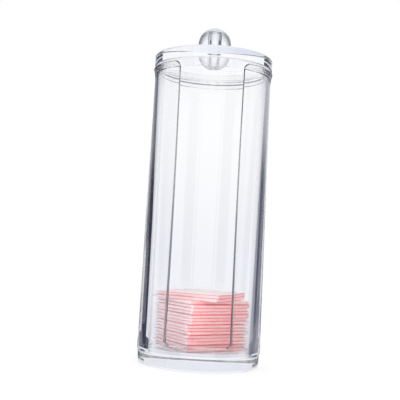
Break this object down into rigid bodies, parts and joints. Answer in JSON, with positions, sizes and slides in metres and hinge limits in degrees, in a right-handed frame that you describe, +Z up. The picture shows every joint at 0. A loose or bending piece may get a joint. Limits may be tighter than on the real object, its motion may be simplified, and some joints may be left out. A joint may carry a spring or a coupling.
{
  "type": "cotton pad dispenser",
  "caption": "Clear cylindrical cotton pad dispenser with an open front slot, a solid base, a lift-off lid with a ball knob and a stack of square pink pads.",
  "frame": {"origin": "centre of the underside of the base", "axes": "+Z up along the tube, the slot faces -Y"},
  "size_m": [0.0732, 0.0732, 0.2027],
  "materials": {
    "clear_plastic": "clear, polished, faintly blue",
    "cotton": "soft matt cotton, cut edges"
  },
  "bodies": {
    "container": {"base": "clear_plastic", "tube": "clear_plastic", "pad_01": "cotton", "pad_02": "cotton", "pad_03": "cotton", "pad_04": "cotton", "pad_05": "cotton", "pad_06": "cotton", "pad_07": "cotton", "pad_08": "cotton", "pad_09": "cotton", "pad_10": "cotton", "pad_11": "cotton", "pad_12": "cotton", "pad_13": "cotton", "pad_14": "cotton", "pad_15": "cotton", "pad_16": "cotton", "pad_17": "cotton"},
    "lid": {"lid": "clear_plastic", "knob": "clear_plastic"}
  },
  "joints": [
    {"name": "lid_lift", "type": "slide", "parent": "container", "child": "lid", "axis": [0, 0, 1], "range_m": [0, 0.06]}
  ]
}
